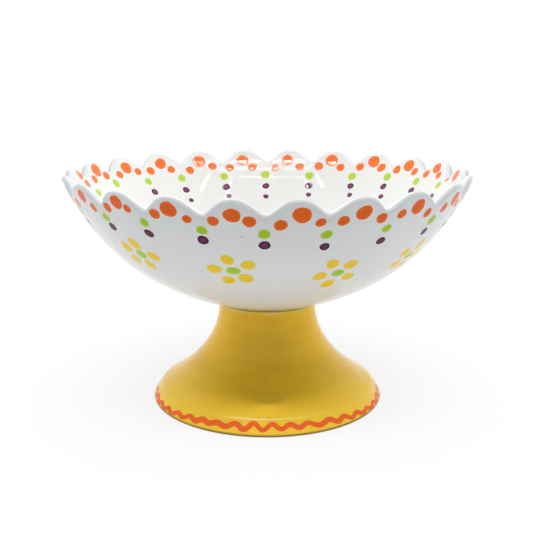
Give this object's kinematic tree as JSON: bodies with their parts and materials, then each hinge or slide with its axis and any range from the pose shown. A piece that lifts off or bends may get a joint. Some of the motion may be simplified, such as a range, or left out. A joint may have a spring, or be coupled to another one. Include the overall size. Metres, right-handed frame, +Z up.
{
  "type": "footed ice cream bowl",
  "caption": "Round dessert bowl with a scalloped rim on a flared hollow foot, glazed and painted with dots, dotted flowers and a wavy line round the foot.",
  "frame": {"origin": "centre of the flat ring under the foot, on the plane it rests on", "axes": "+Z up along the bowl's axis; -Y toward the viewer, where a valley of the scalloped rim faces; +X to the viewer's right"},
  "size_m": [0.15, 0.1488, 0.0878],
  "materials": {
    "white_glaze": "glossy clear glaze over a white body",
    "yellow_glaze": "glossy clear glaze over ochre yellow",
    "slip": "fired slip, thinly glazed at the seam"
  },
  "bodies": {
    "root": {"bowl": "white_glaze", "foot": "yellow_glaze", "slip_joint": "slip"}
  },
  "joints": []
}
